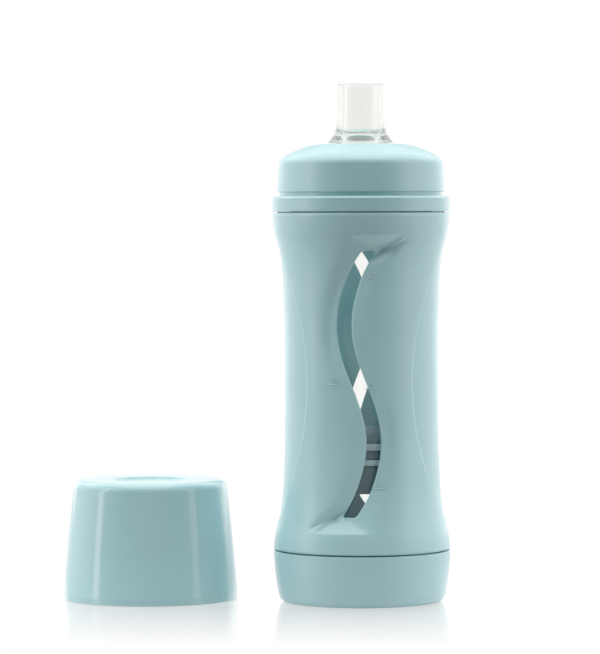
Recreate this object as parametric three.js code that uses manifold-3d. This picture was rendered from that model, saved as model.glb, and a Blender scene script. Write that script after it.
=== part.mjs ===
// A baby food bottle with a rising platform: a clear chamber stands in an hourglass casing that has
// an S-shaped window in front and behind. A soft spout is clamped under a screw collar, a base cup
// screws on below, and the dust cap stands beside the bottle. Millimetres, +Z up, origin at the
// centre of the base's underside, front window towards -Y.
import * as THREE from 'three';
import { mergeVertices } from 'three/addons/utils/BufferGeometryUtils.js';
import Module from 'manifold-3d';

const wasm = await Module();
wasm.setup();

// Heights of the seats, measured from the table
const SEAL_Z = 2.9;
const CHAMBER_Z = 5.5;
const BASE_TOP = 18.5;
const PLATFORM_Z = 40.1;
const WAIST_Z = 79.5;
const COLLAR_Z = 140.9;
const SPOUT_Z = 155.8;
const BOTTLE_TOP = 186.7;

// Radii that neighbouring pieces share
const OUTER_R = 32;
const WAIST_R = 28;
const CHAMBER_R = 24.4;
const CHAMBER_BORE = 22.9;
const CASING_BORE = 25.1;
const NECK_R = 25.7;
const COLLAR_BORE = 27.2;
const SPIGOT_R = 28.2;
const BASE_BORE = 29.7;
const SEAL_R = 22.6;

// Half the casing's height between its two seams, and how far its spigot goes below the lower one
const HALF_CASING = 60.9;
const SPIGOT_DEPTH = 12;

// Screw threads: both pairs share one ridge, whose mating ridge lies half a pitch away
const PITCH = 4;
const TURNS = 1.25;
const RIDGE = 1.1;
const RIDGE_ROOT = 0.8;
const RIDGE_CREST = 0.35;
const RIDGE_SUNK = 0.4;

// The window: a sine with slightly curled ends, of one width all along
const WINDOW_HALF_HEIGHT = 46.8;
const WINDOW_HALF_WIDTH = 2.78;
const WINDOW_SWING = 5.35;
const WINDOW_HALF_WAVE = 42.4;
const CURL_START = 36;
const CURL = 0.016;
const CORNER_R = 1;

// The recess beside the window: its floor, its curved outer side and its pointed upper corner
const RECESS_FLOOR_R = 26.7;
const RECESS_TOP = 52.4;
const RECESS_CORNER_X = 14.8;
const RECESS_SIDE = { x: -12.8, z: 21, bend: 0.0076 };

const CAP_PLACE = [-77.5, 8, 0];
const CAP_HEIGHT = 43.4;

const FACETS = 40;

const TEAL = 0x9cc0c3;
const SATIN_PLASTIC = { color: TEAL, roughness: 0.5, metalness: 0 };
const GLOSS_PLASTIC = { color: TEAL, roughness: 0.12, metalness: 0 };
const CLEAR_PLASTIC = { color: 0xf2f6f5, roughness: 0.06, metalness: 0, transparent: true, opacity: 0.3 };
const CLEAR_SILICONE = { color: 0xf0f0e8, roughness: 0.3, metalness: 0, transparent: true, opacity: 0.6 };
const TEAL_SILICONE = { color: 0x7fa6aa, roughness: 0.65, metalness: 0 };

/** Points on an arc in the plane of a turned profile, from one angle in degrees to another. */
function arc(r, z, radius, from, to, steps) {
  return Array.from({ length: steps + 1 }, (_, i) => {
    const angle = THREE.MathUtils.degToRad(from + ((to - from) * i) / steps);
    return [r + radius * Math.cos(angle), z + radius * Math.sin(angle)];
  });
}

/** Points on a smooth curve through a few points. */
function smooth(points, steps) {
  const curve = new THREE.SplineCurve(points.map(([r, z]) => new THREE.Vector2(r, z)));
  return curve.getPoints(steps).map((p) => [p.x, p.y]);
}

/** A profile of [radius, height] points turned about the Z axis. It closes on itself or on the axis. */
function turned(points) {
  const onAxis = points[0][0] === 0;
  const loop = onAxis ? points : [...points, points[0]];
  const profile = loop.map(([r, z]) => new THREE.Vector2(r, z));
  return new THREE.LatheGeometry(profile, FACETS).rotateX(Math.PI / 2);
}

/** A closed mesh as a solid for booleans, without the empty triangles of a lathe's poles. */
function solid(geometry) {
  const bare = geometry.clone();
  bare.deleteAttribute('normal');
  bare.deleteAttribute('uv');
  const merged = mergeVertices(bare, 1e-4);
  const triangles = [];
  for (let i = 0; i < merged.index.count; i += 3) {
    const [a, b, c] = [0, 1, 2].map((k) => merged.index.getX(i + k));
    if (a !== b && b !== c && c !== a) triangles.push(a, b, c);
  }
  const vertProperties = Float32Array.from(merged.attributes.position.array);
  const triVerts = Uint32Array.from(triangles);
  return new wasm.Manifold(new wasm.Mesh({ numProp: 3, vertProperties, triVerts }));
}

/** The geometry of a solid that booleans made. */
function geometryOf(made) {
  const mesh = made.getMesh();
  const geometry = new THREE.BufferGeometry();
  geometry.setAttribute('position', new THREE.BufferAttribute(mesh.vertProperties, 3));
  geometry.setIndex(new THREE.BufferAttribute(mesh.triVerts, 1));
  return geometry;
}

/** A helix about Z whose two ends run out into the wall by a distance, negative for an outer wall. */
class ThreadPath extends THREE.Curve {
  constructor(radius, start, runOut) {
    super();
    this.radius = radius;
    this.start = start;
    this.runOut = runOut;
  }

  getPoint(t, target = new THREE.Vector3()) {
    const angle = 2 * Math.PI * TURNS * t;
    const runOutShare = 0.08;
    const full = THREE.MathUtils.smoothstep(Math.min(t, 1 - t), 0, runOutShare);
    const radius = this.radius + this.runOut * (1 - full);
    return target.set(radius * Math.cos(angle), radius * Math.sin(angle), this.start + PITCH * TURNS * t);
  }

  /** Frames that keep the ridge's section pointing away from the axis. */
  computeFrenetFrames(segments) {
    const tangents = [];
    const normals = [];
    const binormals = [];
    for (let i = 0; i <= segments; i++) {
      const point = this.getPointAt(i / segments);
      const normal = new THREE.Vector3(point.x, point.y, 0).normalize();
      const binormal = new THREE.Vector3(0, 0, -1);
      tangents.push(new THREE.Vector3().crossVectors(normal, binormal));
      normals.push(normal);
      binormals.push(binormal);
    }
    return { tangents, normals, binormals };
  }
}

/** A thread ridge on a wall of the given radius. Outward is 1 on a neck and -1 in a bore. */
function thread(wallR, start, outward) {
  const section = new THREE.Shape([
    new THREE.Vector2(-RIDGE_SUNK * outward, -RIDGE_ROOT),
    new THREE.Vector2(RIDGE * outward, -RIDGE_CREST),
    new THREE.Vector2(RIDGE * outward, RIDGE_CREST),
    new THREE.Vector2(-RIDGE_SUNK * outward, RIDGE_ROOT),
  ]);
  const extrudePath = new ThreadPath(wallR, start, -RIDGE * outward);
  const steps = Math.round(24 * TURNS);
  return solid(new THREE.ExtrudeGeometry(section, { extrudePath, steps, bevelEnabled: false }));
}

/** The window's centre line: how far it lies beside the middle, at a height from the waist. */
function windowCentre(z) {
  const curl = CURL * Math.max(0, Math.abs(z) - CURL_START) ** 2;
  return Math.sign(z) * curl - WINDOW_SWING * Math.sin((Math.PI * z) / WINDOW_HALF_WAVE);
}

/** Points along the window's centre line, moved sideways, from one height to another. */
function windowLine(from, to, aside, steps) {
  return Array.from({ length: steps + 1 }, (_, i) => {
    const z = from + ((to - from) * i) / steps;
    return new THREE.Vector2(windowCentre(z) + aside, z);
  });
}

/** A front-view outline pushed through the front wall, from near the axis to beyond the outside. */
function throughFront(outline) {
  const inner = 15;
  const depth = OUTER_R + 2 - inner;
  const plate = new THREE.ExtrudeGeometry(new THREE.Shape(outline), { depth, bevelEnabled: false });
  return solid(plate.rotateX(Math.PI / 2).translate(0, -inner, 0));
}

/** The window itself: two parallel S-curves with level ends and eased corners. */
function windowCut() {
  const end = WINDOW_HALF_HEIGHT - CORNER_R;
  const inset = CORNER_R * 0.3;
  const corner = (side, z) =>
    new THREE.Vector2(windowCentre(z) + side * (WINDOW_HALF_WIDTH - inset), z + Math.sign(z) * (CORNER_R - inset));
  const flat = (side, top) =>
    new THREE.Vector2(windowCentre(end * top) + side * (WINDOW_HALF_WIDTH - CORNER_R), WINDOW_HALF_HEIGHT * top);
  return throughFront([
    ...windowLine(-end, end, WINDOW_HALF_WIDTH, 18),
    corner(1, end),
    flat(1, 1),
    flat(-1, 1),
    corner(-1, end),
    ...windowLine(end, -end, -WINDOW_HALF_WIDTH, 18),
    corner(-1, -end),
    flat(-1, -1),
    flat(1, -1),
    corner(1, -end),
  ]);
}

/** The upper recess: it starts at the waist, widens beside the window and ends in a pointed corner. */
function recessCut() {
  const insideWindow = WINDOW_HALF_WIDTH - 0.3;
  const wedgeFoot = 45.4;
  const sideTop = 48;
  const sideFoot = 8;
  const sideSteps = 10;
  const side = Array.from({ length: sideSteps + 1 }, (_, i) => {
    const z = sideTop + ((sideFoot - sideTop) * i) / sideSteps;
    return new THREE.Vector2(RECESS_SIDE.x + RECESS_SIDE.bend * (z - RECESS_SIDE.z) ** 2, z);
  });
  return throughFront([
    ...windowLine(0, wedgeFoot, insideWindow, 12),
    new THREE.Vector2(RECESS_CORNER_X, RECESS_TOP - 1.4),
    new THREE.Vector2(RECESS_CORNER_X, RECESS_TOP),
    new THREE.Vector2(-2.5, RECESS_TOP),
    new THREE.Vector2(-5.6, RECESS_TOP - 1.6),
    ...side,
    new THREE.Vector2(windowCentre(-2) - insideWindow, -2),
  ]);
}

/** What is left under the recess: a straight core that flares at both ends. */
function recessFloor() {
  const straight = 44;
  const flareEnd = 54;
  return solid(
    turned([
      [0, -flareEnd],
      [OUTER_R, -flareEnd],
      [RECESS_FLOOR_R, -straight],
      [RECESS_FLOOR_R, straight],
      [OUTER_R, flareEnd],
      [0, flareEnd],
    ]),
  );
}

/** The hourglass sleeve, from its lower seam to its upper one, with the threaded spigot below. */
function casing() {
  const half = [
    [WAIST_R, 0],
    [28.35, 29.5],
    [29.2, 43.5],
    [30.2, 50],
    [31.3, 55],
    [31.93, HALF_CASING - 0.4],
  ];
  const hourglass = [...half.slice(1).reverse().map(([r, z]) => [r, -z]), ...half];
  const foot = -HALF_CASING;
  const spigotEnd = foot - SPIGOT_DEPTH;
  const sleeve = solid(
    turned([
      [26.4, spigotEnd],
      [SPIGOT_R - 0.3, spigotEnd],
      [SPIGOT_R, spigotEnd + 0.4],
      [SPIGOT_R, foot + 0.4],
      [31.5, foot + 0.4],
      ...smooth(hourglass, 18),
      [31.6, HALF_CASING],
      [29.4, HALF_CASING],
      [29.4, HALF_CASING - 2.7],
      [COLLAR_BORE, HALF_CASING - 2.7],
      [COLLAR_BORE, HALF_CASING - 6.4],
      [CASING_BORE, HALF_CASING - 12],
      [CASING_BORE, foot + 5],
      [26.4, foot + 3.5],
    ]),
  );
  const recess = recessCut().subtract(recessFloor());
  const front = windowCut().add(recess).add(recess.rotate([0, 180, 0]).rotate([0, 0, 180]));
  const windows = front.add(front.rotate([0, 0, 180]));
  return geometryOf(sleeve.add(thread(SPIGOT_R, foot - 7.6, 1)).subtract(windows));
}

/** The clear straight cylinder, with a shoulder that hangs in the casing and a threaded neck. */
function chamber() {
  const shoulder = 138 - CHAMBER_Z;
  const lip = 150;
  const tube = turned([
    [CHAMBER_BORE, 0],
    [CHAMBER_R, 0],
    [CHAMBER_R, shoulder],
    [28.6, shoulder],
    [28.6, shoulder + 2],
    [28.2, shoulder + 2.3],
    [NECK_R, shoulder + 2.6],
    [NECK_R, lip - 0.3],
    [NECK_R - 0.3, lip],
    [CHAMBER_BORE, lip],
  ]);
  return geometryOf(solid(tube).add(thread(NECK_R, 144.5 - CHAMBER_Z, 1)));
}

/** The hollow piston: a domed crown on a skirt, with two grooves for its seals. */
function platform() {
  const grooveR = 20.6;
  const wallR = 21.6;
  return turned([
    [0, 20.8],
    [9.5, 20.3],
    [16.5, 18.5],
    [19.4, 16.4],
    [19.8, 14.9],
    [19.8, 0.3],
    [20.1, 0],
    [21.3, 0],
    [wallR, 0.4],
    [wallR, 9.5],
    [grooveR, 9.8],
    [grooveR, 12.5],
    [wallR, 12.8],
    [wallR, 14.9],
    [grooveR, 15.2],
    [grooveR, 17.9],
    [wallR, 18.2],
    [21.4, 18.8],
    ...smooth([[20, 19.5], [17, 21.1], [10, 22.7], [0, 23.3]], 5),
  ]);
}

/** The wiper ring that touches the chamber's wall just below the crown. */
function platformTopSeal() {
  return turned([
    [20.9, 0],
    [21.9, 0],
    [SEAL_R, 1.6],
    [SEAL_R, 2.4],
    [22.1, 2.4],
    [21.7, 2],
    [20.9, 2],
  ]);
}

/** The plain band that keeps the platform square in the chamber. */
function platformLowerSeal() {
  return turned([
    [20.9, 0],
    [22.3, 0],
    [SEAL_R, 0.3],
    [SEAL_R, 1.7],
    [22.3, 2],
    [20.9, 2],
  ]);
}

/** The base: a shallow cup with a threaded wall, a rib round the seal and three small air holes. */
function baseCup() {
  const floor = 2.6;
  const cup = turned([
    [0, 0],
    ...arc(27.5, 2.6, 2.6, -90, 0, 4),
    ...smooth([[30.6, 5.2], [31.2, 9.5], [31.65, 14], [31.9, BASE_TOP - 0.4]], 3),
    [31.6, BASE_TOP],
    [BASE_BORE + 0.3, BASE_TOP],
    [BASE_BORE, BASE_TOP - 0.3],
    [BASE_BORE, 6],
    [28.8, 3.6],
    [27.8, floor],
    [27, floor],
    [27, floor + 1.8],
    [26.2, floor + 1.8],
    [26.2, floor],
    [0, floor],
  ]);
  let made = solid(cup).add(thread(BASE_BORE, 9, -1));
  for (const turn of [30, 150, 270]) {
    const hole = new THREE.CylinderGeometry(1.2, 1.2, 8, 16).rotateX(Math.PI / 2).translate(12, 0, 0);
    made = made.subtract(solid(hole.rotateZ(THREE.MathUtils.degToRad(turn))));
  }
  return geometryOf(made);
}

/** The silicone ring between the base's floor and the chamber's lower rim. */
function baseSeal() {
  return turned([
    [21.6, 0.3],
    [21.9, 0],
    [25.6, 0],
    [25.9, 0.3],
    [25.9, 2],
    [25.6, 2.3],
    [21.9, 2.3],
    [21.6, 2],
  ]);
}

/** The screw collar: a flange, a ring with the cap's snap groove, and a dome with the spout's hole. */
function collar() {
  const shell = turned([
    [COLLAR_BORE, 0],
    [OUTER_R - 0.4, 0],
    [OUTER_R, 0.4],
    [OUTER_R, 4.8],
    [OUTER_R - 0.3, 5.1],
    [31.2, 5.1],
    [30.35, 5.5],
    [30, 6.3],
    [29.5, 6.5],
    [29.5, 7.1],
    [30.15, 7.4],
    [29.6, 16.6],
    ...smooth([[29.3, 18], [28.1, 19.4], [24.1, 21.6], [18.2, 23.7], [12.4, 24.3]], 7),
    [9.9, 24.3],
    [9.7, 24.1],
    [9.7, 22.2],
    [17, 21.5],
    [24, 19.3],
    [26.7, 17.4],
    [COLLAR_BORE, 16.7],
  ]);
  return geometryOf(solid(shell).add(thread(COLLAR_BORE, 146.5 - COLLAR_Z, -1)));
}

/** The soft spout: a sealing skirt under the collar, a groove for its hole, and a straight tube. */
function spout() {
  const top = BOTTLE_TOP - SPOUT_Z;
  const tubeR = 8.6;
  const boreR = 6.95;
  const rimR = (tubeR - boreR) / 2;
  return turned([
    [22.6, 0],
    [26.3, 0],
    [26.3, 2.1],
    [24, 4],
    [17, 6.2],
    [9.3, 6.8],
    [9.3, 9.8],
    ...smooth([[11.9, 9.8], [10.93, 10.9], [10.17, 12], [9.67, 13.1], [9.15, 14.4], [8.8, 17.4]], 6),
    [8.64, 22],
    ...arc(boreR + rimR, top - rimR, rimR, 0, 180, 4),
    [boreR, 13.3],
    [5.3, 12.8],
    [5.3, 10.4],
    [6.2, 7.4],
    [9, 5],
    [16.5, 4.3],
    [22.4, 2],
  ]);
}

/** The dust cap, open end down: a tapered cup with a round shoulder and a shallow dish on top. */
function dustCap() {
  const shoulderR = 3.3;
  const flatR = 24.7;
  return turned([
    [0, 41.3],
    [25.3, 41.3],
    [26.3, 40.6],
    [26.75, 39.4],
    [28.85, 20.4],
    [30.35, 2.6],
    [29.95, 1.9],
    [29.95, 1.3],
    [30.6, 0],
    [31.2, 0],
    [31.55, 0.5],
    [31.6, 2.4],
    [30.05, 21],
    ...arc(flatR, CAP_HEIGHT - shoulderR, shoulderR, 3, 90, 5),
    [13.4, CAP_HEIGHT],
    [12.9, CAP_HEIGHT - 0.7],
    [0, CAP_HEIGHT - 0.7],
  ]);
}

/** A named piece with its own material, seated at a height. */
function piece(name, geometry, material, z = 0) {
  const mesh = new THREE.Mesh(geometry, new THREE.MeshStandardMaterial(material));
  mesh.name = name;
  mesh.position.z = z;
  return mesh;
}

const platformGroup = new THREE.Group();
platformGroup.position.z = PLATFORM_Z;
platformGroup.add(
  piece('platform', platform(), SATIN_PLASTIC),
  piece('platform_top_seal', platformTopSeal(), TEAL_SILICONE, 15.6),
  piece('platform_lower_seal', platformLowerSeal(), TEAL_SILICONE, 10.2),
);

const capGroup = new THREE.Group();
capGroup.position.set(...CAP_PLACE);
capGroup.add(piece('dust_cap', dustCap(), GLOSS_PLASTIC));

const bottle = new THREE.Group();
bottle.add(
  piece('base_cup', baseCup(), SATIN_PLASTIC),
  piece('base_seal', baseSeal(), TEAL_SILICONE, SEAL_Z),
  piece('chamber', chamber(), CLEAR_PLASTIC, CHAMBER_Z),
  piece('casing', casing(), SATIN_PLASTIC, WAIST_Z),
  platformGroup,
  piece('spout', spout(), CLEAR_SILICONE, SPOUT_Z),
  piece('collar', collar(), SATIN_PLASTIC, COLLAR_Z),
  capGroup,
);

export default bottle;
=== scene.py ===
"""The look of the baby food bottle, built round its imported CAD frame.

Profiles are in millimetres, as [radius, height] points measured from each piece's own seat, and a
third number on a point rounds that corner. Seats are read from the frame. Blender's own units are
metres, with +Z up and the front window towards -Y.
"""

import math

import bmesh
import bpy
import numpy as np
from mathutils import Matrix, Vector


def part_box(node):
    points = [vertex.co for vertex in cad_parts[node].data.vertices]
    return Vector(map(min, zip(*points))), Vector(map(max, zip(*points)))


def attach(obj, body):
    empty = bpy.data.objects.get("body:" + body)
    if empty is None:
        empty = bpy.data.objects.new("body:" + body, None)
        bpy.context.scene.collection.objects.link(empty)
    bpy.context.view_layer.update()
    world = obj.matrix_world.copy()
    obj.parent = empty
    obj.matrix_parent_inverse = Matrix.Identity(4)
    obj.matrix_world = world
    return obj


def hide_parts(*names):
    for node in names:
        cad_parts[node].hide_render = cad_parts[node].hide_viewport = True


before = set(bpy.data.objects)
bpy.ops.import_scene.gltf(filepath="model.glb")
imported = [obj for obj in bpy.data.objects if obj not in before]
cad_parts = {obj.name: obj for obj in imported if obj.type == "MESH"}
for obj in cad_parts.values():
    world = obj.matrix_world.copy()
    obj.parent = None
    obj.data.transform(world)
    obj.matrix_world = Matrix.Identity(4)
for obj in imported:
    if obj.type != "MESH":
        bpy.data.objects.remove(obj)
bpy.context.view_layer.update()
scene = bpy.context.scene
MM = 0.001

# Seats of the pieces above the table, from the frame
seat = {name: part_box(name)[0].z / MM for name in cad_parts}
BASE_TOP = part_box("base_cup")[1].z / MM
BOTTLE_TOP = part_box("spout")[1].z / MM
HALF_CASING = 60.9
WAIST_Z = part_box("casing")[1].z / MM - HALF_CASING
CAP_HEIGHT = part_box("dust_cap")[1].z / MM

# Radii that neighbouring pieces share, as in the CAD
OUTER_R = 32
WAIST_R = 28
CHAMBER_R = 24.4
CHAMBER_BORE = 22.9
CASING_BORE = 25.1
NECK_R = 25.7
COLLAR_BORE = 27.2
SPIGOT_R = 28.2
BASE_BORE = 29.7
SPIGOT_DEPTH = 12

# Screw threads: how far a ridge stands out, its half widths at the root and at the crest, and the
# share of its length over which each end fades
PITCH = 4
TURNS = 1.25
RIDGE = 1.1
RIDGE_ROOT = 0.8
RIDGE_CREST = 0.35
RUN_OUT = 0.08

# The window: a sine with slightly curled ends, of one width all along. Here and below, heights on
# the casing are measured from its waist.
WINDOW_HALF_HEIGHT = 47.4
WINDOW_HALF_WIDTH = 2.78
WINDOW_SWING = 5.35
WINDOW_HALF_WAVE = 42.4
CURL_START = 36
CURL = 0.016
CORNER_R = 1
EDGE_R = 0.35

# The upper recess: left of the window a ramp with a curved side, which goes on above the window's
# end as a ledge with a pointed tip, and right of the window a facet, which a crease parts from the
# ledge. The lower recess is the same one turned half round.
FLOOR_R = 27
RECESS_END = 53
END_SLOPE = 0.6
RECESS_SIDE_X = -13.2
RECESS_SIDE_HEIGHT = 21
RECESS_SIDE_BEND = 0.0098
RAMP_SLOPE = 0.29
CREASE = Vector((5.9, 44.9))
CREASE_DIRECTION = Vector((0.848, 0.533))
CREASE_DEPTH = 1
TIP_X = 15.5
FACET_WIDTH = 5.9
FACET_SLOPE = 0.36

# The lens-shaped panels on the casing's two sides
PANEL_HALF_HEIGHT = 52
PANEL_HALF_ANGLE = math.radians(48.5)
PANEL_DEPTH = 0.38
PANEL_EDGE = 0.9

# The volume marks: each bar's middle, beside the window, and the number over it
MARKS = [(5.2, 37.5, "90"), (-8.6, 0, "60"), (4.2, -1.4, "60"), (7.6, -37, "30")]
BAR_HALF_LENGTH = 1.9
BAR_HALF_WIDTH = 0.17
BAR_PROUD = 0.25
NUMBER_HEIGHT = 1.5
NUMBER_PROUD = 0.12

TURN_STEPS = 160


# ---------------------------------------------------------------- profiles


def smoothstep(x, zero_at, one_at):
    """A smooth change from 0 at one number to 1 at another, for numbers and arrays."""
    t = np.clip((np.asarray(x, float) - zero_at) / (one_at - zero_at), 0, 1)
    return t * t * (3 - 2 * t)


def spline(points, steps):
    """Points on a smooth curve through a few unevenly spaced points."""
    p = np.array(points, float)
    gaps = np.linalg.norm(np.diff(p, axis=0), axis=1)
    at = np.concatenate([[0], np.cumsum(gaps)])
    chords = np.diff(p, axis=0) / gaps[:, None]
    weighted = chords[1:] * gaps[:-1, None] + chords[:-1] * gaps[1:, None]
    inner = weighted / (gaps[1:] + gaps[:-1])[:, None]
    first = 1.5 * chords[0] - inner[0] / 2
    last = 1.5 * chords[-1] - inner[-1] / 2
    slopes = np.vstack([first, inner, last])
    out = []
    for s in np.linspace(0, at[-1], steps + 1):
        i = min(np.searchsorted(at, s, side="right") - 1, len(gaps) - 1)
        t = (s - at[i]) / gaps[i]
        ends = (2 * t**3 - 3 * t**2 + 1) * p[i] + (3 * t**2 - 2 * t**3) * p[i + 1]
        pulls = (t**3 - 2 * t**2 + t) * slopes[i] + (t**3 - t**2) * slopes[i + 1]
        out.append(tuple(ends + pulls * gaps[i]))
    return out


def arc(r, z, radius, start, end, steps):
    """Points on an arc from one angle in degrees to another."""
    angles = np.radians(np.linspace(start, end, steps + 1))
    return [(r + radius * math.cos(a), z + radius * math.sin(a)) for a in angles]


def wall(r, low, high, step=0.3):
    """Points up or down a wall at one radius, close enough together to carry a thread."""
    count = max(2, round(abs(high - low) / step))
    return [(r, z) for z in np.linspace(low, high, count + 1)]


def eased(corners, hold=0.25):
    """A closed profile whose marked corners are rounded.

    A point close to each rounding on its straight side keeps the shading flat along that side.
    """
    most_of_side = 0.45
    out = []
    for i, corner in enumerate(corners):
        here = np.array(corner[:2], float)
        if len(corner) == 2:
            out.append(tuple(here))
            continue
        before = np.array(corners[i - 1][:2], float) - here
        after = np.array(corners[(i + 1) % len(corners)][:2], float) - here
        room_before = np.linalg.norm(before)
        room_after = np.linalg.norm(after)
        before /= room_before
        after /= room_after
        turn = math.pi - math.acos(np.clip(before @ after, -1, 1))
        room = min(room_before, room_after)
        reach = min(corner[2] * math.tan(turn / 2), most_of_side * room)
        start = here + before * reach
        end = here + after * reach
        long_side = 2.2 * (reach + hold)
        if room_before > long_side:
            out.append(tuple(start + before * hold))
        for t in np.linspace(0, 1, 5):
            out.append(tuple((1 - t) ** 2 * start + 2 * t * (1 - t) * here + t * t * end))
        if room_after > long_side:
            out.append(tuple(end + after * hold))
    return out


def thread_ridge(angle, z, start):
    """How far a thread's ridge stands out of its wall, at angles in 0 to one turn and at heights."""
    height = np.zeros(np.broadcast(angle, z).shape)
    for turn in range(math.ceil(TURNS)):
        turns = angle / (2 * math.pi) + turn
        across = np.abs(z - start - PITCH * turns)
        flank = np.clip((RIDGE_ROOT - across) / (RIDGE_ROOT - RIDGE_CREST), 0, 1)
        share = turns / TURNS
        ends = smoothstep(np.minimum(share, 1 - share), 0, RUN_OUT)
        height = np.maximum(height, RIDGE * flank * ends)
    return height


# ---------------------------------------------------------------- meshes


def mesh_piece(name, points, faces, finish):
    """A smooth-shaded, welded object from points in millimetres."""
    mesh = bpy.data.meshes.new(name)
    mesh.from_pydata((np.asarray(points) * MM).tolist(), [], faces)
    work = bmesh.new()
    work.from_mesh(mesh)
    bmesh.ops.delete(work, geom=[v for v in work.verts if not v.link_faces], context="VERTS")
    bmesh.ops.remove_doubles(work, verts=work.verts, dist=1e-7)
    bmesh.ops.recalc_face_normals(work, faces=work.faces)
    work.to_mesh(mesh)
    work.free()
    mesh.shade_smooth()
    mesh.materials.append(finish)
    made = bpy.data.objects.new(name, mesh)
    scene.collection.objects.link(made)
    return made


def turned(name, profile, z, finish, thread=None, steps=TURN_STEPS):
    """A profile turned about the Z axis, from height z. It closes on itself or on the axis.

    thread is the radius of the wall that carries it, its start, and 1 for outward or -1 for inward.
    """
    profile = np.array(profile, float)
    rows = len(profile)
    angles = np.linspace(0, 2 * math.pi, steps, endpoint=False)
    radius = np.tile(profile[:, 0], (steps, 1))
    if thread:
        wall_r, start, outward = thread
        ridge = thread_ridge(angles[:, None], profile[None, :, 1], start)
        radius += outward * ridge * (np.abs(radius - wall_r) < 1e-6)
    x = radius * np.cos(angles)[:, None]
    y = radius * np.sin(angles)[:, None]
    points = np.stack([x, y, np.tile(profile[:, 1] + z, (steps, 1))], axis=-1)
    on_axis = profile[0, 0] < 1e-9
    faces = []
    for i in range(steps):
        here = i * rows
        there = (i + 1) % steps * rows
        for j in range(rows - 1 if on_axis else rows):
            k = (j + 1) % rows
            if on_axis and j == 0:
                faces.append((here, there + k, here + k))
            elif on_axis and k == rows - 1:
                faces.append((here + j, there + j, here + k))
            else:
                faces.append((here + j, there + j, there + k, here + k))
    return mesh_piece(name, points.reshape(-1, 3), faces, finish)


def cut(piece, cutter):
    """Cuts one mesh object out of another, and removes the cutter."""
    modifier = piece.modifiers.new("cut", "BOOLEAN")
    modifier.operation = "DIFFERENCE"
    modifier.object = cutter
    modifier.solver = "EXACT"
    with bpy.context.temp_override(object=piece, active_object=piece, selected_objects=[piece]):
        bpy.ops.object.modifier_apply(modifier=modifier.name)
    bpy.data.objects.remove(cutter)


# ---------------------------------------------------------------- the casing's surface


def window_centre(u):
    """How far the window's centre line lies beside the middle, at heights from the waist."""
    curl = CURL * np.maximum(0, np.abs(u) - CURL_START) ** 2
    return np.sign(u) * curl - WINDOW_SWING * np.sin(np.pi * u / WINDOW_HALF_WAVE)


def window_half_width(u):
    """Half the window's width, drawn in where its corners are rounded."""
    into_corner = np.clip(np.abs(u) - (WINDOW_HALF_HEIGHT - CORNER_R), 0, CORNER_R)
    return WINDOW_HALF_WIDTH - CORNER_R + np.sqrt(CORNER_R**2 - into_corner**2)


def window_distance(x, u):
    """The distance from the window's outline, for points outside it."""
    beside = np.abs(x - window_centre(u)) - (WINDOW_HALF_WIDTH - CORNER_R)
    beyond = np.abs(u) - (WINDOW_HALF_HEIGHT - CORNER_R)
    outside = np.hypot(np.maximum(beside, 0), np.maximum(beyond, 0))
    return outside + np.minimum(np.maximum(beside, beyond), 0) - CORNER_R


HALF_PROFILE = [(WAIST_R, 0), (28.35, 29.5), (29.2, 43.5), (30.2, 50), (31.3, 55), (31.93, 60.5)]
HOURGLASS = np.array(spline([(r, -z) for r, z in HALF_PROFILE[:0:-1]] + HALF_PROFILE, 400))


def hourglass_radius(u):
    """The casing's radius before anything is sunk into it."""
    return np.interp(u, HOURGLASS[:, 1], HOURGLASS[:, 0])


def ramp(distance, slope, softness):
    """The depth of a slope that starts softly at distance 0."""
    return slope * (distance + np.hypot(distance, softness)) / 2


def lesser(first, second):
    """The lesser of two depths, with a soft change from one to the other and a crisp rim."""
    softness = 0.3
    return np.maximum(0, (first + second - np.hypot(first - second, softness)) / 2)


def upper_recess(x, u):
    """How deep the upper recess is at x to the right and u above the waist.

    Left of the window it is a ramp from the curved side down to the floor, and above the window a
    ledge that runs out to a tip. Right of the window it is the facet, up to the crease.
    """
    deepest = hourglass_radius(u) - FLOOR_R
    side = RECESS_SIDE_X + RECESS_SIDE_BEND * (u - RECESS_SIDE_HEIGHT) ** 2
    steeper_below = 1.4 - 0.4 * smoothstep(u, 30, 46)
    from_side = ramp(x - side, RAMP_SLOPE * steeper_below, 1.2)
    from_tip = ramp(TIP_X - x, 0.5, 1)
    from_end = ramp(RECESS_END - u, END_SLOPE, 0.2)
    end_facet = lesser(lesser(deepest, from_side), lesser(from_tip, from_end))

    near_end = smoothstep(u, 42, 47)
    outer_edge = window_centre(u) + WINDOW_HALF_WIDTH + FACET_WIDTH + 1.5 * near_end
    from_edge = ramp(outer_edge - x, FACET_SLOPE + 0.3 * near_end, 1) * smoothstep(u, 12, 44)
    side_facet = lesser(from_edge, deepest + CREASE_DEPTH)

    above_crease = (u - CREASE.y) * CREASE_DIRECTION.x - (x - CREASE.x) * CREASE_DIRECTION.y
    near_crease = (1 - smoothstep(above_crease, 0, 2.8)) * smoothstep(x, TIP_X - 1.5, TIP_X - 8)
    ledge = end_facet + CREASE_DEPTH * near_crease
    beyond = smoothstep(above_crease, -0.5, 0.1)
    right_side = side_facet + (ledge - side_facet) * beyond
    fading_in = smoothstep(u, 2, 16)
    return fading_in * np.where(x < window_centre(u), end_facet, right_side)


def panel_half_angle(u):
    """Half the angle that a side panel spans at a height, which is nothing past its pointed ends."""
    return PANEL_HALF_ANGLE * np.clip(1 - (u / PANEL_HALF_HEIGHT) ** 2, 0, 1) ** 0.75


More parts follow.
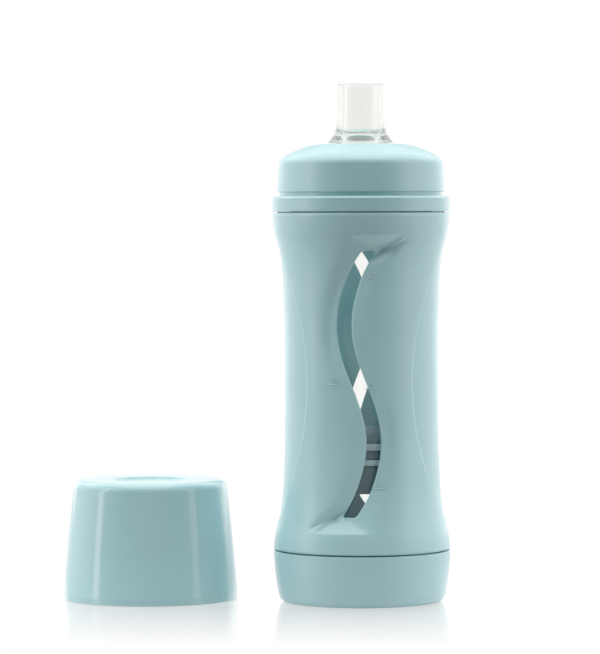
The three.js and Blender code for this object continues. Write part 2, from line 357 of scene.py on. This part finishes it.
def outer_radius(angle, u):
    """The casing's outer radius, where the angle is 0 at the front and a quarter turn at a side."""
    whole = hourglass_radius(u)
    x = whole * np.sin(angle)
    sunk = upper_recess(x, u) + upper_recess(-x, -u)
    into_panel = whole * (panel_half_angle(u) - np.abs(math.pi / 2 - np.abs(angle)))
    sunk = sunk + PANEL_DEPTH * smoothstep(into_panel, 0, PANEL_EDGE)
    distance = np.clip(window_distance(x, u), 0, EDGE_R)
    easing = EDGE_R - np.sqrt(EDGE_R**2 - (EDGE_R - distance) ** 2)
    return whole - sunk - easing


def casing_heights():
    """Heights of the rows over the outside, close together where the surface turns quickly."""
    corner = WINDOW_HALF_HEIGHT - CORNER_R
    parts = [
        np.arange(0, 42, 1.5),
        np.arange(42, corner, 0.4),
        corner + np.array([0, 0.3, 0.6, 0.8, 0.92, 1.0, 1.04, 1.12, 1.22, 1.35, 1.6]),
        np.arange(corner + 1.9, RECESS_END - 0.7, 0.35),
        np.linspace(RECESS_END - 0.6, RECESS_END + 0.4, 6),
        np.linspace(RECESS_END + 0.9, HALF_CASING - 0.6, 8),
    ]
    upper = np.concatenate(parts)
    return np.concatenate([-upper[:0:-1], upper])


def side_columns(edge_x, radius, u):
    """Angles of the columns from one window edge round to the side of the casing, for every row."""
    edge = np.arcsin(edge_x / radius)[:, None]
    panel = math.pi / 2 - np.maximum(panel_half_angle(u), 0.06)[:, None]
    to_panel = np.concatenate([[0, 0.0025, 0.0075, 0.0135, 0.022], np.linspace(0.04, 0.98, 44)])
    at_panel = PANEL_EDGE * np.array([-0.3, 0, 0.12, 0.3, 0.5, 0.7, 0.88, 1, 1.3]) / radius[:, None]
    across = np.linspace(0.04, 1, 14)
    within = panel + at_panel[:, -1:]
    before_panel = edge + (panel - edge) * to_panel
    in_panel = within + (math.pi / 2 - within) * across
    return np.hstack([before_panel, panel + at_panel, in_panel])


def casing_rim():
    """The casing's top, from the outside in: a low ring, then a mouth that steps down to the bore."""
    ring_top = HALF_CASING + 0.43
    shoulder = HALF_CASING - 2.7
    return eased([
        (31.93, HALF_CASING - 0.4),
        (31.6, HALF_CASING, 0.2),
        (30.2, HALF_CASING),
        (30.1, ring_top),
        (29.4, ring_top, 0.3),
        (29.4, shoulder, 0.2),
        (COLLAR_BORE, shoulder, 0.3),
        (COLLAR_BORE, HALF_CASING - 6.4, 0.3),
        (CASING_BORE, HALF_CASING - 12),
    ])[1:]


def casing_spigot():
    """The casing's foot, from the bore down and up again outside: a spigot under a small shelf."""
    foot = -HALF_CASING
    end = foot - SPIGOT_DEPTH
    shelf = foot + 0.6
    inside = eased([
        (CASING_BORE, foot + 5),
        (26.4, foot + 3.5, 0.3),
        (26.4, end, 0.3),
        (SPIGOT_R, end, 0.4),
        (SPIGOT_R, end + 0.8),
    ])
    return inside + wall(SPIGOT_R, end + 1, foot + 0.2) + [(SPIGOT_R, shelf), (31.5, shelf)]


def casing_faces(row_count, columns, edges, outer_rows, bore_rows):
    """Faces of half the casing, with the window open and walls from its outline in to the bore."""
    edge_left, edge_right = edges
    open_rows = set(outer_rows[:-1]) | set(bore_rows[1:])
    faces = []
    for i in range(row_count):
        here = i * columns
        there = (i + 1) % row_count * columns
        for j in range(columns - 1):
            if i in open_rows and edge_left <= j < edge_right:
                continue
            faces.append((here + j, here + j + 1, there + j + 1, there + j))
    for n in range(len(outer_rows) - 1):
        for j in (edge_left, edge_right):
            corners = (outer_rows[n], outer_rows[n + 1], bore_rows[n + 1], bore_rows[n])
            faces.append(tuple(int(row) * columns + j for row in corners))
    for n in (0, -1):
        here = int(outer_rows[n]) * columns
        there = int(bore_rows[n]) * columns
        for j in range(edge_left, edge_right):
            faces.append((here + j, here + j + 1, there + j + 1, there + j))
    return faces


def casing(finish):
    """The hourglass sleeve, as two equal halves with a window in each.

    A row of points goes round the front from one side to the other. The rows go up the outside,
    over the rim, down the bore and back up round the spigot.
    """
    outside = casing_heights()
    within = outside[np.abs(outside) <= WINDOW_HALF_HEIGHT + 1e-9]
    rim = casing_rim()
    bore = [(CASING_BORE, u) for u in within[::-1]]
    rows = [(0, u) for u in outside] + rim + bore + casing_spigot()
    radius, u = np.array(rows).T
    on_outside = np.arange(len(rows)) < len(outside)
    radius = np.where(on_outside, hourglass_radius(u), radius)

    centre = window_centre(np.clip(u, -WINDOW_HALF_HEIGHT, WINDOW_HALF_HEIGHT))
    half = window_half_width(u)
    left = -side_columns(half - centre, radius, u)[:, ::-1]
    right = side_columns(half + centre, radius, u)
    between = np.linspace(left[:, -1], right[:, 0], 7, axis=1)[:, 1:-1]
    angle = np.hstack([left, between, right])
    height = np.tile(u[:, None], (1, angle.shape[1]))
    shaped = np.where(on_outside[:, None], outer_radius(angle, height), radius[:, None])
    on_spigot = np.abs(radius - SPIGOT_R) < 1e-6
    thread_start = -HALF_CASING - 7.6
    halves = []
    for back in (0, math.pi):
        turn = np.mod(angle - math.pi / 2 + back, 2 * math.pi)
        ridge = thread_ridge(turn, height, thread_start) * on_spigot[:, None]
        x = (shaped + ridge) * np.sin(angle + back)
        y = -(shaped + ridge) * np.cos(angle + back)
        halves.append(np.stack([x, y, height + WAIST_Z], axis=-1).reshape(-1, 3))

    edge_left = left.shape[1] - 1
    edge_right = edge_left + between.shape[1] + 1
    outer_rows = np.flatnonzero(on_outside & (np.abs(u) <= WINDOW_HALF_HEIGHT + 1e-9))
    bore_rows = len(outside) + len(rim) + np.arange(len(bore))[::-1]
    edges = (edge_left, edge_right)
    faces = casing_faces(len(rows), angle.shape[1], edges, outer_rows, bore_rows)
    count = len(halves[0])
    faces += [tuple(v + count for v in face) for face in faces]
    return mesh_piece("casing_shell", np.vstack(halves), faces, finish)


def raised(name, points, faces, proud, finish):
    """A flat outline of x and u wrapped on the casing's front and raised a little."""
    sunk = 0.1
    x, u = np.array(points).T
    angle = np.arcsin(x / hourglass_radius(u))
    layers = []
    for offset in (proud, -sunk):
        radius = outer_radius(angle, u) + offset
        layers.append(np.stack([radius * np.sin(angle), -radius * np.cos(angle), u + WAIST_Z], axis=-1))
    count = len(points)
    edge_use = {}
    for face in faces:
        for a, b in zip(face, face[1:] + face[:1]):
            edge_use.setdefault((min(a, b), max(a, b)), []).append((a, b))
    sides = [use[0] for use in edge_use.values() if len(use) == 1]
    walls = [(a, b, b + count, a + count) for a, b in sides]
    under = [tuple(v + count for v in reversed(face)) for face in faces]
    return mesh_piece(name, np.vstack(layers), faces + walls + under, finish)


def mark(name, text, x, u, height, finish):
    """A raised number on the front of the casing, centred at x and u.

    A digit is as high as a certain share of the font's size.
    """
    digit_share = 0.7
    curve = bpy.data.curves.new(name, "FONT")
    curve.body = text
    curve.size = height / digit_share
    curve.align_x = "CENTER"
    curve.align_y = "CENTER"
    curve.resolution_u = 3
    flat = bpy.data.objects.new(name, curve)
    scene.collection.objects.link(flat)
    bpy.context.view_layer.update()
    shape = flat.to_mesh()
    points = [(v.co.x + x, v.co.y + u) for v in shape.vertices]
    faces = [tuple(face.vertices) for face in shape.polygons]
    flat.to_mesh_clear()
    bpy.data.objects.remove(flat)
    return raised(name, points, faces, NUMBER_PROUD, finish)


def joined(name, pieces):
    """Several mesh objects as one."""
    first = pieces[0]
    chosen = {"object": first, "active_object": first, "selected_editable_objects": pieces}
    with bpy.context.temp_override(**chosen):
        bpy.ops.object.join()
    first.name = name
    return first


# ---------------------------------------------------------------- the other pieces


def chamber(finish):
    """The clear straight cylinder, with a shoulder that hangs in the casing and a threaded neck."""
    z = seat["chamber"]
    shoulder = 138 - z
    start = 144.5 - z
    lip = 155.5 - z
    profile = eased([
        (CHAMBER_BORE, 0, 0.3),
        (CHAMBER_R, 0, 0.3),
        (CHAMBER_R, shoulder, 0.3),
        (28.6, shoulder, 0.3),
        (28.6, shoulder + 2, 0.3),
        (28.2, shoulder + 2.3, 0.3),
        (NECK_R, shoulder + 2.6, 0.4),
        *wall(NECK_R, start - 1, start + PITCH * TURNS + 1),
        (NECK_R, lip, 0.4),
        (CHAMBER_BORE, lip, 0.3),
    ])
    return turned("chamber_body", profile, z, finish, thread=(NECK_R, start, 1))


def platform(finish):
    """The hollow piston: a domed crown on a skirt, with two grooves for its seals."""
    groove_r = 20.6
    wall_r = 21.6
    inside = spline([[0, 20.8], [9.5, 20.3], [16.5, 18.5], [19.2, 16.2], [19.8, 14.5]], 16)
    crown = spline([[21.4, 18.8], [20, 19.5], [17, 21.1], [10, 22.7], [0, 23.3]], 20)
    profile = inside + eased([
        (19.8, 14.2),
        (19.8, 0, 0.4),
        (wall_r, 0, 0.5),
        (wall_r, 9.65, 0.2),
        (groove_r, 9.65, 0.15),
        (groove_r, 12.65, 0.15),
        (wall_r, 12.65, 0.2),
        (wall_r, 15.05, 0.2),
        (groove_r, 15.05, 0.15),
        (groove_r, 18.05, 0.15),
        (wall_r, 18.05, 0.2),
    ])[1:] + crown
    return turned("platform_body", profile, seat["platform"], finish)


def platform_top_seal(finish):
    """The wiper ring that touches the chamber's wall just below the crown."""
    profile = eased([
        (20.9, 0, 0.15),
        (21.9, 0, 0.2),
        (22.6, 1.6, 0.3),
        (22.6, 2.4, 0.15),
        (22.1, 2.4, 0.15),
        (21.7, 2, 0.15),
        (20.9, 2, 0.15),
    ], hold=0.08)
    return turned("platform_wiper", profile, seat["platform_top_seal"], finish)


def platform_lower_seal(finish):
    """The plain band that keeps the platform square in the chamber."""
    profile = eased([(20.9, 0, 0.15), (22.6, 0, 0.4), (22.6, 2, 0.4), (20.9, 2, 0.15)], hold=0.1)
    return turned("platform_band", profile, seat["platform_lower_seal"], finish)


def base_cup(finish):
    """The base: a shallow cup with a threaded wall, a rib round the seal and three air holes."""
    floor = 2.6
    start = 9
    outside = spline([
        (27.5, 0),
        (28.6, 0.25),
        (29.45, 1),
        (30.1, 2.6),
        (30.6, 5.2),
        (31.2, 9.5),
        (31.65, 14),
        (31.88, BASE_TOP - 0.6),
    ], 40)
    profile = [(0, 0), (20, 0), (27.2, 0)] + outside + eased([
        outside[-1],
        (31.9, BASE_TOP, 0.3),
        (BASE_BORE, BASE_TOP, 0.3),
        *wall(BASE_BORE, start + PITCH * TURNS + 1, start - 1),
        (BASE_BORE, 6, 0.5),
        (28.8, 3.6, 0.5),
        (27.8, floor, 0.3),
        (27, floor, 0.1),
        (27, floor + 1.8, 0.2),
        (26.2, floor + 1.8, 0.2),
        (26.2, floor, 0.1),
        (0, floor),
    ])[1:]
    made = turned("base_shell", profile, 0, finish, thread=(BASE_BORE, start, -1))
    hole_r = 1.2
    outward = Matrix.Translation((12 * MM, 0, 0))
    for turn in (30, 150, 270):
        hole = turned("hole", [(0, -2), (hole_r, -2), (hole_r, 6), (0, 6)], 0, finish, steps=24)
        hole.data.transform(Matrix.Rotation(math.radians(turn), 4, "Z") @ outward)
        cut(made, hole)
    return made


def base_seal(finish):
    """The silicone ring between the base's floor and the chamber's lower rim."""
    profile = eased([(21.6, 0, 0.4), (25.9, 0, 0.4), (25.9, 2.3, 0.4), (21.6, 2.3, 0.4)], hold=0.1)
    return turned("base_ring_seal", profile, seat["base_seal"], finish)


def collar(finish):
    """The screw collar: a flange, a ring with the cap's snap groove, and a dome with a hole."""
    z = seat["collar"]
    start = 146.5 - z
    dome = spline([(29.62, 16.2), (29.3, 18), (28.1, 19.4), (24.1, 21.6), (18.2, 23.7), (12.4, 24.3)], 36)
    profile = eased([
        (COLLAR_BORE, 0, 0.3),
        (OUTER_R, 0, 0.35),
        (OUTER_R, 4.8, 0.25),
        (31.2, 5.4, 0.15),
        (29.3, 5.45, 0.12),
        (29.3, 6.95, 0.12),
        (30.1, 7, 0.25),
        (29.7, 15),
    ]) + dome + eased([
        (12.4, 24.3),
        (9.7, 24.3, 0.35),
        (9.7, 22.2, 0.2),
        (17, 21.5),
        (24, 19.3),
        (26.7, 17.4),
        (COLLAR_BORE, 16.7),
        *wall(COLLAR_BORE, start + PITCH * TURNS + 1, start - 1),
    ])[1:]
    return turned("collar_shell", profile, z, finish, thread=(COLLAR_BORE, start, -1))


def spout(finish):
    """The soft spout: a sealing skirt under the collar, a groove for its hole, and a straight tube."""
    z = seat["spout"]
    top = BOTTLE_TOP - z
    tube_r = 8.6
    bore_r = 6.95
    rim_r = (tube_r - bore_r) / 2
    foot = spline([
        (11.9, 9.9),
        (10.93, 10.9),
        (10.17, 12),
        (9.67, 13.1),
        (9.15, 14.4),
        (8.8, 17.4),
        (8.64, 22),
    ], 24)
    rim = arc(bore_r + rim_r, top - rim_r, rim_r, 0, 180, 12)
    throat = spline([(5.3, 12.2), (5.3, 10.4), (6.2, 7.4), (9, 5), (16.5, 4.3)], 20)
    profile = eased([
        (22.6, 0, 0.3),
        (26.3, 0, 0.3),
        (26.3, 2.1, 0.4),
        (24, 4),
        (17, 6.2),
        (9.3, 6.8, 0.3),
        (9.3, 9.8, 0.2),
        (11.8, 9.8),
    ])[:-1] + foot + [(tube_r, top - rim_r - 0.4)] + rim + eased([
        (bore_r, top - rim_r - 0.4),
        (bore_r, 12.8, 0.5),
        (5.3, 12.8, 0.4),
        (5.3, 12.3),
    ]) + throat[1:] + [(22.4, 2)]
    return turned("spout_body", profile, z, finish)


def dust_cap(finish):
    """The dust cap, open end down: a tapered cup with a round shoulder and a shallow dish on top."""
    shoulder_r = 3.3
    flat_r = 24.7
    shoulder = arc(flat_r, CAP_HEIGHT - shoulder_r, shoulder_r, 3, 90, 14)
    ceiling = 41.3
    dish = CAP_HEIGHT - 0.7
    profile = [(0, ceiling), (20, ceiling)] + eased([
        (25, ceiling),
        (26.3, ceiling - 0.4, 1.5),
        (26.75, 39),
        (28.85, 20.4),
        (30.35, 2.8),
        (29.95, 1.9),
        (29.95, 1.3),
        (30.5, 0, 0.3),
        (31.4, 0, 0.4),
        (31.6, 2.4, 0.8),
        (31.45, 4),
        (30.05, 21),
    ]) + shoulder + eased([
        (22, CAP_HEIGHT),
        (13.4, CAP_HEIGHT, 0.5),
        (12.9, dish, 0.5),
        (8, dish),
    ]) + [(0, dish)]
    made = turned("cap_shell", profile, 0, finish, steps=192)
    low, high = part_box("dust_cap")
    middle = (low + high) / 2
    made.data.transform(Matrix.Translation((middle.x, middle.y, 0)))
    return made


# ---------------------------------------------------------------- materials


class Nodes:
    """A new material's node tree, with short ways to add and link nodes."""

    def __init__(self, name):
        self.material = bpy.data.materials.new(name)
        self.material.use_nodes = True
        self.tree = self.material.node_tree
        self.shader = self.tree.nodes["Principled BSDF"]
        self.output = self.tree.nodes["Material Output"]
        self.place = self.tree.nodes.new("ShaderNodeTexCoord").outputs["Object"]

    def add(self, kind, **inputs):
        node = self.tree.nodes.new("ShaderNode" + kind)
        for name, value in inputs.items():
            self.put(node, name.replace("_", " "), value)
        return node

    def put(self, node, name, value):
        socket = node.inputs[name]
        if isinstance(value, bpy.types.NodeSocket):
            self.tree.links.new(value, socket)
        else:
            socket.default_value = value

    def noise(self, per_metre, detail=2):
        return self.add("TexNoise", Vector=self.place, Scale=per_metre, Detail=detail).outputs["Fac"]

    def ramp(self, factor, stops):
        node = self.add("ValToRGB", Fac=factor)
        elements = node.color_ramp.elements
        for element, (at, colour) in zip(elements, stops):
            element.position = at
            element.color = colour
        return node.outputs["Color"]

    def span(self, value, start, end, first, last):
        """A number that goes from first to last while the value goes from start to end."""
        node = self.add("MapRange", Value=value, From_Min=start, From_Max=end)
        self.put(node, "To Min", first)
        self.put(node, "To Max", last)
        return node.outputs["Result"]

    def spread(self, noise, low, high):
        """A noise's usual values spread over a range."""
        return self.span(noise, 0.25, 0.75, low, high)

    def vector_math(self, operation, vector):
        node = self.add("VectorMath", Vector=vector)
        node.operation = operation
        return node.outputs

    def larger(self, first, second):
        node = self.add("Math")
        node.operation = "MAXIMUM"
        self.tree.links.new(first, node.inputs[0])
        self.tree.links.new(second, node.inputs[1])
        return node.outputs[0]

    def mix(self, share, first, second):
        """Makes the surface one shader, mixed with a share of a second one."""
        both = self.add("MixShader", Fac=share)
        self.tree.links.new(first.outputs[0], both.inputs[1])
        self.tree.links.new(second.outputs[0], both.inputs[2])
        self.tree.links.new(both.outputs[0], self.output.inputs["Surface"])

    def bump(self, height, depth):
        return self.add("Bump", Height=height, Distance=depth).outputs["Normal"]


def tinted(colour, share):
    """A colour made lighter or darker, with full opacity."""
    return tuple(channel * share for channel in colour) + (1,)


def moulded_plastic(name, colour, roughness, specular=0.5, translucency=0.0):
    """Pigmented plastic: faint flow clouds in the colour, a fine grain and slightly uneven polish."""
    nodes = Nodes(name)
    clouds = nodes.noise(60, 3)
    grain = nodes.noise(2600)
    waves = nodes.noise(140, 1)
    mottled = nodes.ramp(clouds, [(0.3, tinted(colour, 0.975)), (0.7, tinted(colour, 1.02))])
    nodes.put(nodes.shader, "Base Color", mottled)
    nodes.put(nodes.shader, "Roughness", nodes.spread(grain, roughness - 0.04, roughness + 0.04))
    nodes.put(nodes.shader, "IOR", 1.47)
    nodes.put(nodes.shader, "Specular IOR Level", specular)
    nodes.put(nodes.shader, "Subsurface Weight", translucency)
    nodes.put(nodes.shader, "Subsurface Radius", (0.8, 1, 1))
    nodes.put(nodes.shader, "Subsurface Scale", 0.0015)
    fine = nodes.bump(grain, 0.000004)
    broad = nodes.add("Bump", Height=waves, Distance=0.00002, Normal=fine).outputs["Normal"]
    nodes.put(nodes.shader, "Normal", broad)
    return nodes.material


def soft_silicone(name, colour, roughness):
    """Opaque silicone: matte, with a faint dusty unevenness."""
    nodes = Nodes(name)
    dust = nodes.noise(900, 4)
    dusted = nodes.ramp(dust, [(0.3, tinted(colour, 0.94)), (0.7, tinted(colour, 1.04))])
    nodes.put(nodes.shader, "Base Color", dusted)
    nodes.put(nodes.shader, "Roughness", nodes.spread(dust, roughness - 0.06, roughness + 0.06))
    nodes.put(nodes.shader, "IOR", 1.41)
    nodes.put(nodes.shader, "Normal", nodes.bump(dust, 0.00001))
    return nodes.material


def clear(name, colour, edge, roughness, ior, waves, clarity=1.0):
    """A see-through solid with a slightly wavy moulded surface, which doesn't keep light out.

    edge is how bright its colour stays where the eye skims the surface and looks through more of
    it, and waves is the depth of the unevenness.
    """
    nodes = Nodes(name)
    flow = nodes.noise(120)
    whole = tinted(colour, 1)
    skimmed = nodes.add("LayerWeight", Blend=0.5).outputs["Facing"]
    deepened = nodes.ramp(skimmed, [(0.45, whole), (0.9, tinted(colour, edge))])
    nodes.put(nodes.shader, "Base Color", deepened)
    nodes.put(nodes.shader, "Roughness", nodes.spread(flow, roughness * 0.7, roughness * 1.3))
    nodes.put(nodes.shader, "IOR", ior)
    nodes.put(nodes.shader, "Transmission Weight", clarity)
    nodes.put(nodes.shader, "Normal", nodes.bump(flow, waves))
    path = nodes.add("LightPath").outputs
    passed = nodes.add("BsdfTransparent", Color=whole)
    let_through = nodes.larger(path["Is Shadow Ray"], path["Is Diffuse Ray"])
    nodes.mix(let_through, nodes.shader, passed)
    return nodes.material


TEAL = (0.325, 0.605, 0.64)
# The platform's colour is the casing's teal darkened: painted shade for the inside of the bottle and the
# gaps between the seals
TEAL_DARKENED_FOR_PAINTED_SHADE = (0.08, 0.19, 0.24)
# The seals' colour is a paler teal silicone, lightened further: painted highlight for the bright bands
# where the platform's seals touch the chamber's wall
TEAL_PALE_AND_PAINTED_HIGHLIGHT = (0.55, 0.84, 0.90)
CLEAR = (0.967, 0.972, 0.955)
MILKY = (0.965, 0.96, 0.935)
satin = moulded_plastic("satin_plastic_look", TEAL, 0.34, specular=0.7, translucency=0.2)
gloss = moulded_plastic("gloss_plastic_look", TEAL, 0.12)
inner_satin = moulded_plastic("platform_plastic_painted_shade_look", TEAL_DARKENED_FOR_PAINTED_SHADE, 0.45, specular=0.2)
silicone = soft_silicone("teal_silicone_painted_highlight_look", TEAL_PALE_AND_PAINTED_HIGHLIGHT, 0.4)
# The chamber's IOR is below its plastic's, because brighter reflections would veil the windows
clear_plastic = clear("clear_plastic_look", CLEAR, 0.85, 0.03, 1.3, 0.00001)
clear_silicone = clear("clear_silicone_look", MILKY, 0.66, 0.14, 1.41, 0.00003, clarity=0.95)


# ---------------------------------------------------------------- assembly


def placed(made, body, node):
    """Hands a piece to the frame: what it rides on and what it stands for."""
    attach(made, body)
    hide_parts(node)


def casing_with_marks(finish):
    """The sleeve with its volume marks: short bars beside the window and small numbers."""
    pieces = [casing(finish)]
    for n, (x, u, text) in enumerate(MARKS):
        left, right = x - BAR_HALF_LENGTH, x + BAR_HALF_LENGTH
        low, high = u - BAR_HALF_WIDTH, u + BAR_HALF_WIDTH
        bar = [(left, low), (right, low), (right, high), (left, high)]
        pieces.append(raised(f"bar_{n}", bar, [(0, 1, 2, 3)], BAR_PROUD, finish))
        pieces.append(mark(f"number_{n}", text, x, u + NUMBER_HEIGHT, NUMBER_HEIGHT, finish))
    return joined("casing_shell", pieces)


placed(base_cup(satin), "base", "base_cup")
placed(base_seal(silicone), "base_ring", "base_seal")
placed(casing_with_marks(satin), "bottle", "casing")
placed(chamber(clear_plastic), "bottle", "chamber")
placed(platform(inner_satin), "platform", "platform")
placed(platform_top_seal(silicone), "platform", "platform_top_seal")
placed(platform_lower_seal(silicone), "platform", "platform_lower_seal")
placed(spout(clear_silicone), "spout", "spout")
placed(collar(satin), "collar", "collar")
placed(dust_cap(gloss), "cap", "dust_cap")


# ---------------------------------------------------------------- floor, light and camera


def floor_look():
    """White where it is seen, with a sheen in an oval round the bottle.

    The light that it gives the object grows from little in front to full behind, and is at least
    half of the full light in a larger oval round the bottle.
    """
    nodes = Nodes("floor_look")
    path = nodes.add("LightPath").outputs
    seen = nodes.larger(path["Is Camera Ray"], path["Is Transmission Ray"])
    oval = nodes.add("Mapping", Vector=nodes.place, Scale=(0.45, 1, 1)).outputs["Vector"]
    away = nodes.vector_math("LENGTH", oval)["Value"]
    direction = nodes.vector_math("NORMALIZE", nodes.place)["Vector"]
    behind = nodes.add("SeparateXYZ", Vector=direction).outputs["Y"]
    around = nodes.span(behind, -0.95, 0.4, 0.1, 1)
    near = nodes.span(away, 0.1, 0.22, 0.5, 0)
    brightness = nodes.larger(seen, nodes.larger(around, near))
    glow = nodes.add("Emission", Color=(1, 1, 1, 1), Strength=brightness)
    sheen = nodes.add("BsdfGlossy", Color=(1, 1, 1, 1), Roughness=0.04)
    nodes.mix(nodes.span(away, 0.03, 0.14, 0.56, 0), glow, sheen)
    return nodes.material


def floor():
    """A table, wide enough to pass for a seamless backdrop, just below the object."""
    half = 3
    corners = [(-half, -half, 0), (half, -half, 0), (half, half, 0), (-half, half, 0)]
    mesh = bpy.data.meshes.new("floor")
    mesh.from_pydata(corners, [], [(0, 1, 2, 3)])
    mesh.materials.append(floor_look())
    made = bpy.data.objects.new("floor", mesh)
    scene.collection.objects.link(made)
    made.location.z = -0.2 * MM


# How bright the backdrop looks through one clear wall alone, as it does along a tube's edges
SINGLE_WALL_DIM = 0.62


def tent():
    """A white tent that lights the object, and the white backdrop that the camera sees.

    The tent is dark round the camera and brighter at the sides and above. Clear walls show the
    backdrop, not the tent.
    """
    world = bpy.data.worlds.new("tent")
    scene.world = world
    world.use_nodes = True
    tree = world.node_tree

    def linked(value, socket):
        if isinstance(value, bpy.types.NodeSocket):
            tree.links.new(value, socket)
        else:
            socket.default_value = value

    def math_node(operation, *values):
        made = tree.nodes.new("ShaderNodeMath")
        made.operation = operation
        for socket, value in zip(made.inputs, values):
            linked(value, socket)
        return made.outputs[0]

    def glow(component, start, full, strength):
        made = tree.nodes.new("ShaderNodeMapRange")
        made.interpolation_type = "SMOOTHSTEP"
        linked(component, made.inputs["Value"])
        made.inputs["From Min"].default_value = start
        made.inputs["From Max"].default_value = full
        made.inputs["To Max"].default_value = strength
        return made.outputs[0]

    direction = tree.nodes.new("ShaderNodeTexCoord").outputs["Generated"]
    parts = tree.nodes.new("ShaderNodeSeparateXYZ")
    linked(direction, parts.inputs[0])
    x, y, z = parts.outputs

    # The tent's walls are brightest at the sides and its slopes at the left and behind, and the
    # horizon behind is as bright as the backdrop
    walls = math_node("SUBTRACT", glow(y, -0.72, 0.15, 1.2), glow(y, 0.6, 0.97, 1.0))
    slopes = math_node("ADD", glow(y, -0.78, -0.4, 1.0), glow(x, -0.3, -0.9, 0.9))
    slopes = math_node("ADD", slopes, glow(y, 0.1, 0.5, 0.9))
    height = glow(z, 0.35, 0.65, 1)
    low = math_node("MULTIPLY", walls, math_node("SUBTRACT", 1, height))
    high = math_node("MULTIPLY", slopes, height)
    roof = glow(z, 0.82, 0.95, 1.7)
    level = glow(math_node("ABSOLUTE", z), 0.3, 0.2, 1)
    horizon = math_node("MULTIPLY", level, glow(y, 0.3, 0.7, 1))
    lit = math_node("ADD", math_node("ADD", low, high), roof)
    lit = math_node("MAXIMUM", lit, horizon)

    # A ray that has gone into and out of two walls has a transmission depth of 4
    path = tree.nodes.new("ShaderNodeLightPath").outputs
    unreflected = math_node("LESS_THAN", path["Glossy Depth"], 0.5)
    through_glass = math_node("MULTIPLY", path["Is Transmission Ray"], unreflected)
    through_two_walls = math_node("GREATER_THAN", path["Transmission Depth"], 2.5)
    undimmed = math_node("MAXIMUM", path["Is Camera Ray"], through_two_walls)
    brighter = math_node("MULTIPLY", 1 - SINGLE_WALL_DIM, undimmed)
    backdrop = math_node("ADD", SINGLE_WALL_DIM, brighter)
    strength = tree.nodes.new("ShaderNodeMix")
    linked(math_node("MAXIMUM", path["Is Camera Ray"], through_glass), strength.inputs["Factor"])
    linked(lit, strength.inputs["A"])
    linked(backdrop, strength.inputs["B"])
    background = tree.nodes["Background"]
    background.inputs["Color"].default_value = (1, 1, 1, 1)
    linked(strength.outputs["Result"], background.inputs["Strength"])


# Inner lamps: height and power
INNER_LAMPS = {
    "upper_inner_lamp": (0.118, 0.0035),
    "lower_inner_lamp": (0.085, 0.0025),
    "base_inner_lamp": (0.03, 0.0009),
}

# Softboxes: the angle in degrees from the camera's side round to the right, width and radiance
SOFTBOXES = {
    "left_softbox": (-74, 0.17, 3.6),
    "right_softbox": (74, 0.45, 1.1),
    "back_left_softbox": (-148, 0.5, 0.9),
    "back_right_softbox": (153, 0.6, 1.0),
}


def inner_lamp(name, z, power):
    """A small lamp on the bottle's axis, which keeps the windows from going black."""
    data = bpy.data.lights.new(name, "POINT")
    data.energy = power
    data.shadow_soft_size = 0.008
    data.color = (0.76, 1, 1.14)
    lamp = bpy.data.objects.new(name, data)
    lamp.location = (0, 0, z)
    lamp.visible_camera = False
    lamp.visible_glossy = False
    lamp.visible_transmission = False
    scene.collection.objects.link(lamp)


def softbox(name, azimuth, width, radiance):
    """A tall strip lamp that faces the bottle, at an angle round it."""
    height = 1.2
    middle = 0.35
    distance = 1.1
    angle = math.radians(azimuth)
    data = bpy.data.lights.new(name, "AREA")
    data.shape = "RECTANGLE"
    data.size = width
    data.size_y = height
    data.energy = math.pi * width * height * radiance
    lamp = bpy.data.objects.new(name, data)
    lamp.location = (distance * math.sin(angle), -distance * math.cos(angle), middle)
    lamp.rotation_euler = (math.pi / 2, 0, angle)
    lamp.visible_transmission = False
    scene.collection.objects.link(lamp)


def camera():
    """A long lens at the level of the collar, a little to the right of the front window."""
    data = bpy.data.cameras.new("camera")
    data.sensor_fit = "VERTICAL"
    data.sensor_height = 36
    data.lens = 204.8
    data.clip_end = 20
    made = bpy.data.objects.new("camera", data)
    made.location = (0.0460, -1.3434, 0.1407)
    made.rotation_euler = (math.radians(88.23), math.radians(0.2), math.radians(2.9))
    scene.collection.objects.link(made)
    scene.camera = made


floor()
tent()
for lamp_name, (azimuth, width, radiance) in SOFTBOXES.items():
    softbox(lamp_name, azimuth, width, radiance)
for lamp_name, (height, power) in INNER_LAMPS.items():
    inner_lamp(lamp_name, height, power)
camera()
scene.view_settings.view_transform = "Standard"
scene.view_settings.gamma = 1.4
